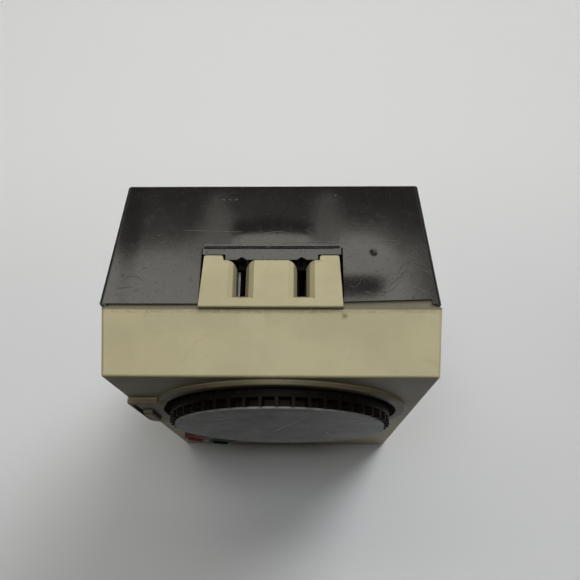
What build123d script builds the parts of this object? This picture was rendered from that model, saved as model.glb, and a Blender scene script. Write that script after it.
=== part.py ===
from build123d import *
import math
import os

# A plug-in 24-hour timer: cream front shell with the dial, black rear shell with the plug blades,
# and a two-slot outlet on the top.  Millimetres, +X right, +Y from the face to the back, +Z up.
# The origin is on the base, midway between the face and the back.

# ---------------------------------------------------------------- driving dimensions
DEPTH = 43.9
FACE_Y = -DEPTH / 2
FACE_SIZE = (67.85, 97.2)
BAND_SIZE = (70.4, 98.64)
REAR_SEAM_SIZE = (70.8, 98.64)
BACK_SIZE = (65.1, 97.29)
BAND_END = 14.5
REAR_START = 15.15
REAR_SHIFT = -0.35
SKIRT = 2.0

WALL = 2.0
FACE_THICK = 2.2
BACK_THICK = 2.2
CORNER = 0.7
INNER_CORNER = 0.8
FACE_ROUND = 0.6
SEAM_ROUND = 0.25
BACK_ROUND = 0.5
FIT = 0.05

# seam: a tongue on the front shell inside a rebate of the rear shell, and a lip behind the tongue
TONGUE_INSET = 0.75
TONGUE_END = 16.6
REBATE_END = 16.75
LIP_INSET = 2.45
LIP_THICK = 1.0
LIP_DEPTH = (13.4, 17.8)
GAP_X = (14.5, 33.2)
GAP_DEPTH = (15.6, 16.2)

# dial and its well
DIAL_X = 0.9
DIAL_Z = 65.3
COLLAR_RADIUS = 30.3
COLLAR_PROUD = 1.1
PAD_PROUD = 1.5
PAD_X = (-33.9, -24.0)
PAD_Z = (52.2, 76.8)
PAD_CORNER = 4.0
WELL_RADIUS = 28.1
WELL_WALL = 1.2
WELL_FLOOR = (3.6, 5.0)
HUB_HOLE_RADIUS = 7.0
POCKETS = 48
POCKET_PITCH = 360 / POCKETS
FIRST_POCKET = 3.0
RIM_RADIUS = 26.5
POCKET_RADIUS = 23.8
RIB_WIDTH = 0.7
RIM_BACK = 2.6
POCKET_BACK = -2.8
POCKET_FRONT = -4.5
DISC_RADIUS = 25.25
DISC_FRONT = -5.0
HUB_RADIUS = 5.0
HUB_END = 8.6

# trippers in the rim
TRIPPER_REACH = 33.3
TRIPPER_WIDTH = 6.6
TRIPPER_BACK = -2.9
TRIPPER_ROUND = 1.4
TONGUE_HALF = 1.15
RIDGE_HALF = 2.2
RIDGE_SPAN = (TRIPPER_REACH - 2.2, TRIPPER_REACH - 1.2)
OFF_POCKET = 29
ON_POCKET = 31

# gear train: dial gear, idler pinion and wheel, motor pinion, all on one vertical line
MODULE = 0.5
DIAL_TEETH = 70
PINION_TEETH = 14
WHEEL_TEETH = 56
IDLER_Z = DIAL_Z - MODULE * (DIAL_TEETH + PINION_TEETH) / 2
MOTOR_Z = IDLER_Z - MODULE * (WHEEL_TEETH + PINION_TEETH) / 2
DIAL_GEAR = (5.8, 7.4)
WHEEL = (9.0, 9.9)
PLATE = (10.6, 11.8)
DIAL_POST_RADIUS = 2.0
IDLER_POST_RADIUS = 1.25
SHAFT_RADIUS = 1.0

# plug blades (two flat blades, 12.7 mm apart) and the outlet's slots at the same spacing
BLADE_SPACING = 12.7
BLADE_THICK = 1.5
BLADE_HEIGHT = 6.4
BLADE_LENGTH = 16.5
BLADE_Z = 55.0
SLOT_WIDTH = 2.0
SLOT_START = 16.8
SLOT_END = 27.0
SLOT_FLARE = 1.75
SLOT_RAMP = 0.9
THROAT_DEPTH = 1.3
HOLDER_SCREW_X = 16.5
HOLDER_HOLE_RADIUS = 1.22

# outlet tab on the top
TAB_FRONT = 14.06
TAB_HALF_FRONT = 14.9
TAB_HALF_REAR = 14.25
EAR_END = 25.6
EAR_HALF = 10.2
TAB_END = 24.5
TAB_TOP = 99.6
TAB_BOTTOM = 94.6
STRIP_END = 27.7
STRIP_TOP = 99.1
STRIP_HALF = 14.7
CARRIER_HALF = 14.4
NOTCH_HALF = 1.6
NOTCH_DEPTH = 1.0
CONTACT_TOP = {-1: 94.2, 1: 90.2}
CONTACT_MOUTH = 2.2
CONTACT_DEPTH = (17.4, 24.0)
LEAF_THICK = 0.5
CUTOUT_HALF = 15.1
CUTOUT_END = 28.1
CARRIER_BOTTOM = 80.0
STRAP_TOP = 79.0
STRAP_THICK = 0.6
STRAP_DEPTH = (33.0, 33.6)
LIVE_TAIL_Z = (36.0, 40.0)

# housing screws and mechanism posts
SCREW_X = 27.0
SCREW_Z = (8.0, 89.0)
SCREW_SEAT = 24.0
PLATE_POST_X = 18.0
PLATE_POST_Z = (12.0, 84.0)

# trip slide and switch
KNOB_X = (-31.7, -29.5)
KNOB_Z = (60.2, 70.2)
KNOB_FRONT = -2.6
SLIDE_TRAVEL = 1.6
SLIDE_GAP = 0.1
LEAF_X = (-26.4, -26.0)
LEAF_DEPTH = (8.6, 11.9)
PIVOT_X = (LEAF_X[0] + LEAF_X[1]) / 2
PIVOT_Z = 47.3
PIVOT_RADIUS = 0.5
PUSH_Z = 65.2
BUTTON_Z = 70.0
SWITCH_SCREW_X = -19.2
SWITCH_SCREW_Z = 46.4

# motor
MOTOR_RADIUS = 18.0
MOTOR_DEPTH = (11.8, 26.0)
SHEET = 0.8
EAR_SCREW_RADIUS = 1.0
EAR_RADIUS = 20.6
LEAD_X = (-10.0, 6.5)
LEAD_DEPTH = 32.3
LEAD_RISE = 6.0
LEAD_RADIUS = 0.7
LEAD_BEND = 2.0


# ---------------------------------------------------------------- helpers
def y_at(depth):
    """Row Y of a plane this far behind the flat of the face."""
    return FACE_Y + depth


def block(x, depth, z):
    """Box between pairs of X, depth and Z."""
    centre = Pos((x[0] + x[1]) / 2, y_at((depth[0] + depth[1]) / 2), (z[0] + z[1]) / 2)
    return centre * Box(x[1] - x[0], depth[1] - depth[0], z[1] - z[0])


def rod(x, z, radius, depth):
    """Cylinder along Y between two depths."""
    return Pos(x, y_at((depth[0] + depth[1]) / 2), z) * Rot(90, 0, 0) * Cylinder(radius, depth[1] - depth[0])


def tube(x, z, outer, inner, depth):
    """Ring along Y between two depths."""
    return rod(x, z, outer, depth) - rod(x, z, inner, depth)


def front_plane(depth, x=0.0, z=0.0):
    """Plane parallel to the face; its local axes are X and Z, and it looks forward."""
    return Plane(origin=(x, y_at(depth), z), x_dir=(1, 0, 0), z_dir=(0, -1, 0))


def section(size, depth, inset=0.0, shift=0.0):
    """Cross-section of the housing at one depth; the outer one runs on below the base, to be cut flat."""
    width, height = size
    low = inset if inset > 0 else -SKIRT
    high = height - inset
    corner = INNER_CORNER if inset > 0 else CORNER
    outline = RectangleRounded(width - 2 * inset, high - low, corner)
    return front_plane(depth, shift, (low + high) / 2) * outline


def straight_wall(size, inset, depth):
    """Block with the housing's outline, moved in by an inset, between two depths."""
    return extrude(section(size, depth[1], inset), depth[1] - depth[0])


def below_base():
    """Everything under the base plane."""
    return block((-60, 60), (-20, DEPTH + 40), (-30, 0))


def gear_outline(teeth, tip_angle):
    """Closed involute outline with stub teeth; one tooth is centred on tip_angle (degrees)."""
    backlash = 0.12
    pitch_r = MODULE * teeth / 2
    base_r = pitch_r * math.cos(math.radians(20))
    tip_r = pitch_r + 0.8 * MODULE
    root_r = pitch_r - 1.15 * MODULE
    half_pitch = (math.pi * MODULE / 2 - backlash) / 2 / pitch_r
    roll = math.sqrt((pitch_r / base_r) ** 2 - 1)
    half_base = half_pitch + roll - math.atan(roll)
    flank = [(root_r, half_base)]
    start_r = max(base_r, root_r + 0.02)
    for step in range(4):
        radius = start_r + (tip_r - start_r) * step / 3
        roll = math.sqrt(max((radius / base_r) ** 2 - 1, 0.0))
        flank.append((radius, half_base - roll + math.atan(roll)))
    points = []
    for tooth in range(teeth):
        middle = math.radians(tip_angle) + 2 * math.pi * tooth / teeth
        rising = [(r, middle - a) for r, a in flank]
        falling = [(r, middle + a) for r, a in reversed(flank)]
        points += [(r * math.cos(a), r * math.sin(a)) for r, a in rising + falling]
    return points


def gear(x, z, teeth, tip_angle, depth, bore_r):
    """Spur gear along Y."""
    outline = Polyline(*gear_outline(teeth, tip_angle), close=True)
    blank = extrude(front_plane(depth[1], x, z) * make_face(outline), depth[1] - depth[0])
    return blank - rod(x, z, bore_r, depth)


def screw(x, z, head_r, head, shank_r, shank):
    """Pan-head screw along Y with a cross recess in its head."""
    body = rod(x, z, head_r, head) + rod(x, z, shank_r, shank)
    outer = max(head, key=lambda depth: abs(depth - sum(shank) / 2))
    inner = outer + (0.9 if outer < sum(shank) / 2 else -0.9)
    recess = (min(outer, inner), max(outer, inner))
    body -= block((x - 0.3, x + 0.3), recess, (z - 0.6 * head_r, z + 0.6 * head_r))
    return body - block((x - 0.6 * head_r, x + 0.6 * head_r), recess, (z - 0.3, z + 0.3))


def screw_places():
    """The four housing screws."""
    return [(side * SCREW_X, z) for side in (-1, 1) for z in SCREW_Z]


def plate_places():
    """The four posts that carry the mechanism plate."""
    return [(side * PLATE_POST_X, z) for side in (-1, 1) for z in PLATE_POST_Z]


def motor_ear_places():
    """The motor's two fixing ears, above and to each side of its shaft."""
    reach = EAR_RADIUS * math.sqrt(0.5)
    return [(DIAL_X + side * reach, MOTOR_Z + reach) for side in (-1, 1)]


# ---------------------------------------------------------------- housing
def slot_cut(side):
    """One blade slot of the outlet with the flared lead-in round its mouth."""
    x = side * BLADE_SPACING / 2
    half = SLOT_WIDTH / 2
    slot = block((x - half, x + half), (SLOT_START, SLOT_END), (TAB_BOTTOM - 1, TAB_TOP + 1))
    length = SLOT_END - SLOT_START
    mouth_y = y_at(SLOT_START + (length - SLOT_RAMP) / 2)
    mouth = Pos(x, mouth_y, TAB_TOP) * Rectangle(SLOT_WIDTH + 2 * SLOT_FLARE, length + SLOT_RAMP)
    throat = Pos(x, y_at(SLOT_START + length / 2), TAB_TOP - THROAT_DEPTH) * Rectangle(SLOT_WIDTH, length)
    return slot + loft([mouth, throat], ruled=True)


def outlet_tab():
    """Raised outlet face: a tongue of the front shell over the contacts, open-ended slots behind."""
    half_front = TAB_HALF_FRONT
    half_rear = TAB_HALF_REAR
    outline = Polyline(
        (-half_front, TAB_FRONT), (half_front, TAB_FRONT), (half_rear, EAR_END), (EAR_HALF, EAR_END),
        (EAR_HALF, TAB_END), (-EAR_HALF, TAB_END), (-EAR_HALF, EAR_END), (-half_rear, EAR_END), close=True)
    plan = Pos(0, FACE_Y, TAB_BOTTOM) * make_face(outline)
    for side in (-1, 1):
        x = side * BLADE_SPACING / 2
        plan -= Pos(x, y_at((SLOT_START + 30) / 2), TAB_BOTTOM) * Rectangle(SLOT_WIDTH, 30 - SLOT_START)
    inner_edges = plan.vertices().filter_by(lambda v: abs(v.Y - y_at(TAB_END)) < 0.01 and abs(v.X) < 9)
    plan = fillet(inner_edges, 1.8)
    ears = plan.vertices().filter_by(lambda v: abs(v.Y - y_at(EAR_END)) < 0.01)
    plan = fillet(ears, 0.5)
    tab = extrude(plan, TAB_TOP - TAB_BOTTOM)
    rim = tab.edges().group_by(Axis.Z)[-1].filter_by(lambda e: e.center().Y < y_at(TAB_FRONT + 0.2))
    tab = fillet(rim, 0.4)
    return tab - slot_cut(-1) - slot_cut(1)


def make_front_shell():
    """Cream cover: band, face, dial well and collar, switch pad, outlet tab and screw posts."""
    shell = loft([section(FACE_SIZE, 0), section(BAND_SIZE, BAND_END)], ruled=True) - below_base()
    shell = fillet(shell.edges().group_by(Axis.Y)[0], FACE_ROUND)
    shell = fillet(shell.edges().group_by(Axis.Y)[-1], SEAM_ROUND)
    shell += straight_wall(BAND_SIZE, TONGUE_INSET, (BAND_END - 1, TONGUE_END))
    shell -= loft([section(FACE_SIZE, FACE_THICK, WALL), section(BAND_SIZE, BAND_END, WALL)], ruled=True)
    shell -= straight_wall(BAND_SIZE, WALL, (BAND_END, TONGUE_END))
    collar = rod(DIAL_X, DIAL_Z, COLLAR_RADIUS, (-COLLAR_PROUD, 0.5))
    collar = fillet(collar.edges().group_by(Axis.Y)[0], 0.5)
    pad = block(PAD_X, (-PAD_PROUD, 1.0), PAD_Z)
    left_edges = pad.edges().filter_by(Axis.Y).group_by(Axis.X)[0]
    pad = fillet(left_edges.sort_by(Axis.Z)[0], PAD_CORNER)
    pad = fillet(pad.edges().group_by(Axis.Y)[0], 0.4)
    shell += collar
    shell += pad
    shell -= rod(DIAL_X, DIAL_Z, WELL_RADIUS, (-PAD_PROUD - 1, WELL_FLOOR[0]))
    shell += tube(DIAL_X, DIAL_Z, WELL_RADIUS + WELL_WALL, WELL_RADIUS, (0.5, WELL_FLOOR[1]))
    shell += tube(DIAL_X, DIAL_Z, WELL_RADIUS + 0.5, HUB_HOLE_RADIUS, WELL_FLOOR)
    shell -= block((KNOB_X[0] - SLIDE_TRAVEL - SLIDE_GAP, KNOB_X[1] + SLIDE_GAP), (-PAD_PROUD - 1, -0.5),
                   (KNOB_Z[0] - 0.5, KNOB_Z[1] + 0.5))
    shell -= block((-33.2, -32.0), (-PAD_PROUD - 1, -0.8), (55.5, 75.5))
    shell -= block((-32.7, -29.5), (-1.0, FACE_THICK), (61.8, 69.0))
    shell -= block((-33.0, -29.2), (FACE_THICK, 12.0), (KNOB_Z[0] - 0.6, KNOB_Z[1] + 0.6))
    for x, z in screw_places():
        shell += rod(x, z, 3.2, (FACE_THICK - 0.2, 12.5))
        shell -= rod(x, z, 1.42, (5.0, 13.0))
    for x, z in plate_places():
        foot = FACE_THICK - 0.2 if z < IDLER_Z else WELL_FLOOR[0]
        shell += rod(x, z, 2.5, (foot, PLATE[0]))
        shell -= rod(x, z, 1.22, (WELL_FLOOR[1] + 0.2, PLATE[0]))
    return shell + outlet_tab()


def seam_gap():
    """Sliver missing from the rear shell's top edge to the right of the outlet, where the seam gapes."""
    outline = Polyline((GAP_X[0], REAR_START - 1), (GAP_X[1], REAR_START - 1), (GAP_X[1], GAP_DEPTH[1]),
                       (GAP_X[0], GAP_DEPTH[0]), close=True)
    return extrude(Pos(0, FACE_Y, BAND_SIZE[1] - 2) * make_face(outline), 4)


def make_rear_shell():
    """Black tapered box: outlet cut-out, plug slots, screw posts and a locating lip inside the seam."""
    seam = section(REAR_SEAM_SIZE, REAR_START, 0, REAR_SHIFT)
    back = section(BACK_SIZE, DEPTH, 0, REAR_SHIFT)
    shell = loft([seam, back], ruled=True) - below_base()
    shell = fillet(shell.edges().group_by(Axis.Y)[-1], BACK_ROUND)
    shell -= loft([section(REAR_SEAM_SIZE, REAR_START, WALL, REAR_SHIFT),
                   section(BACK_SIZE, DEPTH - BACK_THICK, WALL, REAR_SHIFT)], ruled=True)
    shell -= straight_wall(BAND_SIZE, TONGUE_INSET - 0.1, (REAR_START - 1, REBATE_END))
    lip = straight_wall(BAND_SIZE, LIP_INSET, LIP_DEPTH)
    lip -= straight_wall(BAND_SIZE, LIP_INSET + LIP_THICK, LIP_DEPTH)
    bridge_depth = (REBATE_END, LIP_DEPTH[1])
    bridge = straight_wall(BAND_SIZE, WALL - 0.5, bridge_depth)
    bridge -= straight_wall(BAND_SIZE, LIP_INSET + LIP_THICK, bridge_depth)
    shell += lip
    shell += bridge
    for x, z in screw_places():
        shell += rod(x, z, 4.0, (12.6, DEPTH - 1))
        shell -= rod(x, z, 2.9, (SCREW_SEAT, DEPTH + 1))
        shell -= rod(x, z, 1.45, (12, SCREW_SEAT))
    for side in (-1, 1):
        shell += rod(side * HOLDER_SCREW_X, BLADE_Z, 2.6, (38.0, DEPTH - 1))
        shell -= rod(side * HOLDER_SCREW_X, BLADE_Z, HOLDER_HOLE_RADIUS, (37.0, 41.6))
        shell += block((side * 10 - 1, side * 10 + 1), (21.0, DEPTH - 1), (77.0, CARRIER_BOTTOM - FIT))
    shell -= block((-CUTOUT_HALF, CUTOUT_HALF), (10, CUTOUT_END), (84, 105))
    for side in (-1, 1):
        x = side * BLADE_SPACING / 2
        half = BLADE_THICK / 2 + FIT
        shell -= block((x - half, x + half), (DEPTH - 4, DEPTH + 1),
                       (BLADE_Z - BLADE_HEIGHT / 2 - FIT, BLADE_Z + BLADE_HEIGHT / 2 + FIT))
    return shell - seam_gap()


def make_outlet_carrier():
    """Black block that holds the outlet contacts; its upper edge closes the slots from behind."""
    body = block((-CARRIER_HALF, CARRIER_HALF), (16.4, STRIP_END), (CARRIER_BOTTOM, TAB_BOTTOM - 0.1))
    ear_line = EAR_END + 0.45
    tab_line = TAB_END + 0.35
    step = EAR_HALF - 0.4
    outline = Polyline(
        (-STRIP_HALF, STRIP_END), (-STRIP_HALF, ear_line), (-step, ear_line), (-step, tab_line),
        (step, tab_line), (step, ear_line), (STRIP_HALF, ear_line), (STRIP_HALF, STRIP_END), close=True)
    strip = extrude(Pos(0, FACE_Y, TAB_BOTTOM - 0.6) * make_face(outline), STRIP_TOP - TAB_BOTTOM + 0.6)
    for side in (-1, 1):
        x = side * BLADE_SPACING / 2
        notch = Polyline((x - NOTCH_HALF, TAB_END), (x, TAB_END + NOTCH_DEPTH), (x + NOTCH_HALF, TAB_END),
                         close=True)
        strip -= extrude(Pos(0, FACE_Y, TAB_BOTTOM) * make_face(notch), 10)
        body -= block((x - 1.45, x + 1.45), (17.0, 24.4), (CARRIER_BOTTOM - 1, TAB_BOTTOM + 1))
    return body + strip


def make_outlet_contact(side):
    """Double-wipe clip: two leaves that pinch a plug blade, joined under the carrier."""
    x = side * BLADE_SPACING / 2
    top = CONTACT_TOP[side]
    bend = top - CONTACT_MOUTH
    length = CONTACT_DEPTH[1] - CONTACT_DEPTH[0]
    middle = y_at((CONTACT_DEPTH[0] + CONTACT_DEPTH[1]) / 2)
    clip = block((x - 1.3, x + 1.3), CONTACT_DEPTH, (STRAP_TOP, STRAP_TOP + 0.6))
    for lean in (-1, 1):
        inner = x + lean * 0.25
        outer = x + lean * (0.25 + LEAF_THICK)
        clip += block(sorted((inner, outer)), CONTACT_DEPTH, (STRAP_TOP + 0.6, bend))
        root = Pos(x + lean * 0.5, middle, bend) * Rectangle(LEAF_THICK, length)
        mouth = Pos(x + lean * 0.85, middle, top) * Rectangle(LEAF_THICK, length)
        clip += loft([root, mouth], ruled=True)
    return clip


def make_plug_blade(side):
    """Flat blade with a tapered tip and a detent hole, its tail inside the holder."""
    x = side * BLADE_SPACING / 2
    half = BLADE_HEIGHT / 2
    blade = block((x - BLADE_THICK / 2, x + BLADE_THICK / 2), (33.6, DEPTH + BLADE_LENGTH),
                  (BLADE_Z - half, BLADE_Z + half))
    tip_edges = blade.edges().group_by(Axis.Y)[-1]
    blade = chamfer(tip_edges, 0.5)
    hole = Pos(x, y_at(DEPTH + 11.6), BLADE_Z) * Rot(0, 90, 0) * Cylinder(1.6, 4)
    return blade - hole


def make_blade_holder():
    """Insulating block that clamps the blades against the back wall."""
    body = block((-13, 13), (35.0, DEPTH - BACK_THICK - FIT), (48.5, 61.5))
    body += block((-20, 20), (36.0, 38.0 - 0.02), (52.0, 58.0))
    for side in (-1, 1):
        x = side * BLADE_SPACING / 2
        half = BLADE_THICK / 2 + FIT
        body -= block((x - half, x + half), (34, DEPTH), (BLADE_Z - 3.25, BLADE_Z + 3.25))
        body -= rod(side * HOLDER_SCREW_X, BLADE_Z, 1.3, (35, 39))
    return body


def make_blade_holder_screws():
    """Two screws through the holder's ears."""
    return [screw(side * HOLDER_SCREW_X, BLADE_Z, 2.2, (34.6, 36.0), 1.2, (36.0, 41.4)) for side in (-1, 1)]


def make_housing_screws():
    """Four long screws from the back, sunk in the rear shell's posts."""
    head = (SCREW_SEAT, SCREW_SEAT + 1.9)
    shank = (6.0, SCREW_SEAT)
    return [screw(x, z, 2.6, head, 1.4, shank) for x, z in screw_places()]


def make_rating_label():
    """Blank foil plate on the back."""
    return front_plane(DEPTH + 0.15, 0, 28) * extrude(RectangleRounded(38, 24, 1.5), 0.15)


# ---------------------------------------------------------------- dial body
def make_dial_ring():
    """Black ring with a smooth band, forty-eight open pockets and the hub that passes the well floor."""
    drum = rod(DIAL_X, DIAL_Z, RIM_RADIUS, (POCKET_BACK, RIM_BACK))
    drum = fillet(drum.edges().group_by(Axis.Y)[0], 0.3)
    core = rod(DIAL_X, DIAL_Z, POCKET_RADIUS, (POCKET_FRONT, POCKET_BACK + 0.2))
    ribs = Sketch()
    for index in range(POCKETS):
        angle = FIRST_POCKET + POCKET_PITCH * (index + 0.5)
        rib = Rot(0, 0, angle) * Pos((RIM_RADIUS + POCKET_RADIUS) / 2 - 0.3, 0)
        ribs += rib * Rectangle(RIM_RADIUS - POCKET_RADIUS + 0.5, RIB_WIDTH)
    ring = drum + core
    ring += extrude(front_plane(POCKET_BACK + 0.4, DIAL_X, DIAL_Z) * ribs, POCKET_BACK + 0.4 - POCKET_FRONT)
    ring -= tube(DIAL_X, DIAL_Z, 22.0, 9.0, (-2.0, RIM_BACK + 1))
    ring += rod(DIAL_X, DIAL_Z, HUB_RADIUS, (0, HUB_END))
    return ring - rod(DIAL_X, DIAL_Z, DIAL_POST_RADIUS + FIT, (-2.4, HUB_END + 1))


def make_dial_disc():
    """Grey hour disc on the front of the ring."""
    disc = rod(DIAL_X, DIAL_Z, DISC_RADIUS, (DISC_FRONT, POCKET_FRONT))
    return fillet(disc.edges().group_by(Axis.Y)[0], 0.15)


def make_tripper(number):
    """Tripper with a tongue in the numbered pocket and a thumb flag that reaches over the collar."""
    angle = FIRST_POCKET + POCKET_PITCH * number
    tongue = block((POCKET_RADIUS + 0.1, RIM_RADIUS + 0.3), (POCKET_FRONT + 0.1, TRIPPER_BACK),
                   (-TONGUE_HALF, TONGUE_HALF))
    flag = block((RIM_RADIUS + 0.2, TRIPPER_REACH), (POCKET_FRONT - 0.3, TRIPPER_BACK),
                 (-TRIPPER_WIDTH / 2, TRIPPER_WIDTH / 2))
    flag = fillet(flag.edges().filter_by(Axis.Y).group_by(Axis.X)[-1], TRIPPER_ROUND)
    ridge = block(RIDGE_SPAN, (POCKET_FRONT - 0.9, POCKET_FRONT), (-RIDGE_HALF, RIDGE_HALF))
    piece = tongue + flag + ridge
    return Pos(DIAL_X, 0, DIAL_Z) * Rot(0, -angle, 0) * piece


def make_dial_gear():
    """Seventy-tooth gear pressed on the hub behind the well floor."""
    return gear(DIAL_X, DIAL_Z, DIAL_TEETH, -90, DIAL_GEAR, HUB_RADIUS + 0.02)


def make_clutch_washer():
    """Friction washer that lets the dial be turned by hand."""
    return tube(DIAL_X, DIAL_Z, 8.0, HUB_RADIUS + 0.02, (DIAL_GEAR[1], DIAL_GEAR[1] + 0.5))


def make_hub_clip():
    """Snap ring that closes the dial stack."""
    ring = tube(DIAL_X, DIAL_Z, 6.4, HUB_RADIUS + 0.02, (DIAL_GEAR[1] + 0.5, HUB_END))
    return ring - block((DIAL_X - 1, DIAL_X + 1), (DIAL_GEAR[1], HUB_END + 1), (DIAL_Z + 3, DIAL_Z + 8))


# ---------------------------------------------------------------- gear train and motor
def make_mechanism_plate():
    """Steel plate behind the dial that carries the posts and the motor."""
    plate = block((-21, 21), PLATE, (8, 88))
    plate = fillet(plate.edges().filter_by(Axis.Y), 2.0)
    for x, z in plate_places():
        plate -= rod(x, z, 1.3, (PLATE[0] - 1, PLATE[1] + 1))
    plate -= rod(DIAL_X, DIAL_Z, DIAL_POST_RADIUS + 0.02, (PLATE[0] - 1, PLATE[1] + 1))
    plate -= rod(DIAL_X, IDLER_Z, IDLER_POST_RADIUS + 0.02, (PLATE[0] - 1, PLATE[1] + 1))
    plate -= rod(DIAL_X, MOTOR_Z, 4.2, (PLATE[0] - 1, PLATE[1] + 1))
    for x, z in motor_ear_places():
        plate -= rod(x, z, EAR_SCREW_RADIUS + 0.02, (PLATE[0] - 1, PLATE[1] + 1))
    return plate - rod(SWITCH_SCREW_X, SWITCH_SCREW_Z, EAR_SCREW_RADIUS + 0.02, (PLATE[0] - 1, PLATE[1] + 1))


def make_dial_post():
    """Fixed stud that the dial turns on, headed behind the plate."""
    stud = rod(DIAL_X, DIAL_Z, DIAL_POST_RADIUS, (-2.2, PLATE[1]))
    return stud + rod(DIAL_X, DIAL_Z, 3.2, (PLATE[1], PLATE[1] + 0.8))


def make_idler_post():
    """Fixed stud of the idler, flush with the back of the plate."""
    return rod(DIAL_X, IDLER_Z, IDLER_POST_RADIUS, (5.3, PLATE[1]))


def make_idler_pinion():
    """Small gear that drives the dial gear."""
    tooth_angle = 90 + 180 / PINION_TEETH
    return gear(DIAL_X, IDLER_Z, PINION_TEETH, tooth_angle, (5.5, WHEEL[0]), IDLER_POST_RADIUS + FIT)


def make_idler_wheel():
    """Large gear driven by the motor pinion."""
    return gear(DIAL_X, IDLER_Z, WHEEL_TEETH, -90, WHEEL, IDLER_POST_RADIUS + FIT)


def make_motor_pinion():
    """Pinion on the motor's output shaft."""
    return gear(DIAL_X, MOTOR_Z, PINION_TEETH, 90 + 180 / PINION_TEETH, (8.6, 10.3), SHAFT_RADIUS + 0.02)


def make_motor_shaft():
    """Output shaft from the rotor to the pinion."""
    return rod(DIAL_X, MOTOR_Z, SHAFT_RADIUS, (8.6, 25.0))


def make_motor_rotor():
    """Magnet ring and its hub."""
    rotor = rod(DIAL_X, MOTOR_Z, 6.5, (15.0, 22.5))
    return rotor - rod(DIAL_X, MOTOR_Z, SHAFT_RADIUS + 0.02, (14, 24))


def make_motor_can():
    """Drawn steel cup round the coil."""
    can = rod(DIAL_X, MOTOR_Z, MOTOR_RADIUS, (MOTOR_DEPTH[0] + SHEET, MOTOR_DEPTH[1]))
    can = fillet(can.edges().group_by(Axis.Y)[-1], 1.2)
    can -= rod(DIAL_X, MOTOR_Z, MOTOR_RADIUS - SHEET, (MOTOR_DEPTH[0], MOTOR_DEPTH[1] - SHEET))
    return can - rod(DIAL_X, MOTOR_Z, SHAFT_RADIUS + FIT, (MOTOR_DEPTH[1] - 2, MOTOR_DEPTH[1] + 1))


def make_motor_cover():
    """Motor front plate with two fixing ears."""
    cover = rod(DIAL_X, MOTOR_Z, MOTOR_RADIUS, (MOTOR_DEPTH[0], MOTOR_DEPTH[0] + SHEET))
    for x, z in motor_ear_places():
        cover += rod(x, z, 3.0, (MOTOR_DEPTH[0], MOTOR_DEPTH[0] + SHEET))
        cover -= rod(x, z, EAR_SCREW_RADIUS + 0.1, (11, 13))
    return cover - rod(DIAL_X, MOTOR_Z, 3.0, (11, 13))


def make_motor_screws():
    """Two screws through the motor's ears."""
    seat = MOTOR_DEPTH[0] + SHEET
    return [screw(x, z, 2.0, (seat, seat + 1.2), EAR_SCREW_RADIUS, (PLATE[0], seat))
            for x, z in motor_ear_places()]


def make_motor_bearing():
    """Brass bush where the output shaft leaves the motor."""
    return tube(DIAL_X, MOTOR_Z, 2.98, SHAFT_RADIUS + FIT, (10.8, 14.2))


def make_motor_coil():
    """Ring coil on its bobbin."""
    coil = tube(DIAL_X, MOTOR_Z, 16.6, 8.6, (13.6, 24.4))
    waist = tube(DIAL_X, MOTOR_Z, 17.0, 15.4, (15.0, 23.0))
    return coil - waist


def wire(points, radius, bend):
    """Round wire along straight runs with equal bends."""
    path = FilletPolyline(*points, radius=bend)
    start = Plane(origin=path @ 0, z_dir=path % 0)
    return sweep(start * Circle(radius), path=path)


def make_motor_leads():
    """Two insulated leads from the motor up to the blade tails."""
    leads = []
    low = MOTOR_Z + LEAD_RISE
    for x in LEAD_X:
        path = [(x, y_at(MOTOR_DEPTH[1]), low), (x, y_at(LEAD_DEPTH), low), (x, y_at(LEAD_DEPTH), BLADE_Z)]
        leads.append(wire(path, LEAD_RADIUS, LEAD_BEND))
    return leads


def make_plate_screws():
    """Four screws through the mechanism plate."""
    return [screw(x, z, 2.2, (PLATE[1], PLATE[1] + 1.4), 1.2, (6.0, PLATE[1])) for x, z in plate_places()]


# ---------------------------------------------------------------- switch
def make_trip_slide():
    """Knob on the pad, its stem through the face and a fork that moves the contact leaf."""
    knob = block(KNOB_X, (KNOB_FRONT, -0.6), KNOB_Z)
    knob = fillet(knob.edges().group_by(Axis.Y)[0], 0.5)
    slide = knob + block((-30.9, -29.75), (-0.8, 9.4), (62.4, 68.4))
    slide += block((-31.1, -29.75), (2.6, 3.8), (KNOB_Z[0] + 0.2, KNOB_Z[1] - 0.2))
    slide += block((-30.9, -25.2), (9.0, 11.4), (PUSH_Z - 1.0, PUSH_Z + 1.0))
    return slide - block((LEAF_X[0] - 0.35, LEAF_X[1] + 0.35), (8.2, 10.6), (PUSH_Z - 3, PUSH_Z + 3))


def make_switch_base():
    """Insulating block that holds both contact blades of the switch."""
    base = block((-29.0, -22.4), (8.0, 13.0), (42.0, 48.2))
    base -= rod(PIVOT_X, PIVOT_Z, PIVOT_RADIUS + FIT, (7.0, 14.0))
    groove = Polyline((PIVOT_X - 1.0, 48.3), (PIVOT_X - 0.4, PIVOT_Z), (PIVOT_X + 0.4, PIVOT_Z),
                      (PIVOT_X + 1.0, 48.3), close=True)
    base -= extrude(front_plane(14, 0, 0) * make_face(groove), 8)
    base += block((-23.0, -17.6), (PLATE[1], 13.0), (44.6, 48.2))
    base -= rod(SWITCH_SCREW_X, SWITCH_SCREW_Z, EAR_SCREW_RADIUS + 0.1, (PLATE[1] - 1, 14.0))
    return base - block((-24.3, -23.7), (8.6, 11.9), (41.0, 49.0))


def make_switch_screw():
    """Screw that holds the switch base to the back of the mechanism plate."""
    return screw(SWITCH_SCREW_X, SWITCH_SCREW_Z, 1.6, (13.0, 14.1), EAR_SCREW_RADIUS, (PLATE[0], 13.0))


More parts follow.
